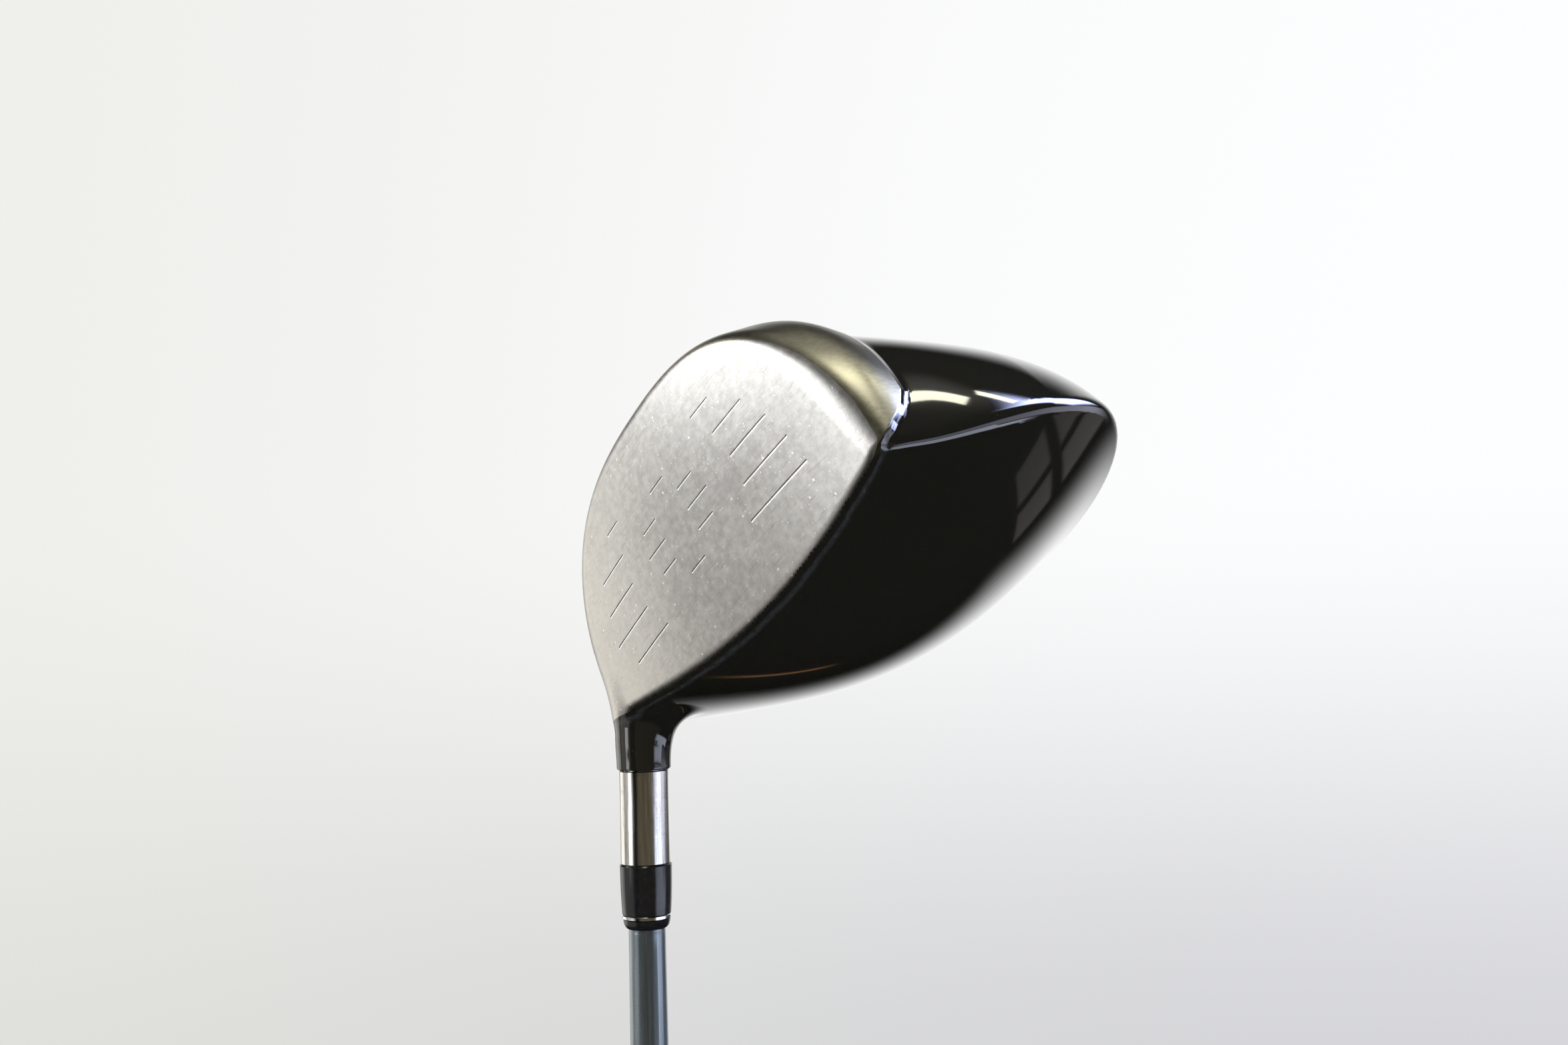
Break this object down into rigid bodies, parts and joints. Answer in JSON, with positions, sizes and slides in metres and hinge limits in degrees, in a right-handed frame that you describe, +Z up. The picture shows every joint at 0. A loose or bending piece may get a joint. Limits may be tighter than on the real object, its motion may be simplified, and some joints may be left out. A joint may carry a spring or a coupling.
{
  "type": "golf driver",
  "caption": "Right-handed golf driver: hollow metal head with gloss black crown, brushed face, loft sleeve held by a sole bolt, movable sole weights, graphite shaft and rubber grip.",
  "frame": {"origin": "centre of the grip cap, at the butt end of the club", "axes": "+Z up the shaft from the grip to the head, so the club stands head up; +X towards the toe and sole side; the face looks along -Y"},
  "size_m": [0.1128, 0.1126, 1.1724],
  "materials": {
    "face_titanium": "satin brushed titanium face with milled score lines",
    "gunmetal": "satin gunmetal bronze coated casting, fine brushed grain",
    "black_gloss": "deep gloss black lacquer",
    "bare_titanium": "as-cast titanium",
    "polished_aluminium": "polished turned aluminium",
    "ferrule_black": "gloss black plastic",
    "bright_ring": "bright metal ring",
    "shaft_paint": "metallic blue-grey painted graphite",
    "graphite_plug": "foam cork",
    "grip_rubber": "matt black cord-pattern rubber",
    "tape": "paper tape",
    "steel": "zinc-plated steel",
    "tungsten_weight": "turned tungsten alloy",
    "badge": "satin aluminium inlay, blank",
    "hot_melt": "hot-melt glue",
    "rubber_ring": "rubber ring"
  },
  "bodies": {
    "club": {"shaft": "shaft_paint", "shaft_tip_plug": "graphite_plug", "grip": "grip_rubber", "grip_cap": "grip_rubber", "grip_tape": "tape", "ferrule": "ferrule_black", "ferrule_ring": "bright_ring", "hosel_sleeve": "polished_aluminium"},
    "head": {"face_plate": "face_titanium", "front_casting": "gunmetal", "crown_shell": "black_gloss", "skirt_shell": "black_gloss", "hosel": "black_gloss", "sole_plate": "gunmetal", "sole_badge": "badge", "sole_ribs": "bare_titanium", "hot_melt_pad": "hot_melt", "toe_port": "bare_titanium", "heel_port": "bare_titanium", "bolt_retainer": "rubber_ring"},
    "bolt_washer_body": {"bolt_washer": "steel"},
    "bolt_body": {"sleeve_bolt": "steel"},
    "toe_weight_body": {"toe_weight": "tungsten_weight"},
    "toe_screw_body": {"toe_weight_screw": "steel"},
    "heel_weight_body": {"heel_weight": "tungsten_weight"},
    "heel_screw_body": {"heel_weight_screw": "steel"}
  },
  "joints": [
    {"name": "head_release", "type": "slide", "parent": "club", "child": "head", "axis": [0, 0, 1], "range_m": [0, 0.06]},
    {"name": "bolt_travel", "type": "slide", "parent": "head", "child": "bolt_washer_body", "axis": [0, 0, 1], "range_m": [0, 0.0128]},
    {"name": "bolt_turn", "type": "hinge", "parent": "bolt_washer_body", "child": "bolt_body", "pos_m": [0, 0, 1.12], "axis": [0, 0, 1], "range_deg": [0, 5764]},
    {"name": "toe_weight_travel", "type": "slide", "parent": "head", "child": "toe_weight_body", "axis": [0.0504, 0.0801, 0.9955], "range_m": [0, 0.0064]},
    {"name": "toe_screw_turn", "type": "hinge", "parent": "toe_weight_body", "child": "toe_screw_body", "pos_m": [0.05366, 0.038, 1.17013], "axis": [0.0504, 0.0801, 0.9955], "range_deg": [0, 2884]},
    {"name": "heel_weight_travel", "type": "slide", "parent": "head", "child": "heel_weight_body", "axis": [-0.8792, 0.0999, 0.4658], "range_m": [0, 0.0064]},
    {"name": "heel_screw_turn", "type": "hinge", "parent": "heel_weight_body", "child": "heel_screw_body", "pos_m": [0.00207, 0.04, 1.14048], "axis": [-0.8792, 0.0999, 0.4658], "range_deg": [0, 2884]}
  ],
  "couplings": [
    {"joint": "bolt_turn", "follows": "bolt_travel", "rad_per_m": 7854},
    {"joint": "toe_screw_turn", "follows": "toe_weight_travel", "rad_per_m": 7854},
    {"joint": "heel_screw_turn", "follows": "heel_weight_travel", "rad_per_m": 7854}
  ]
}
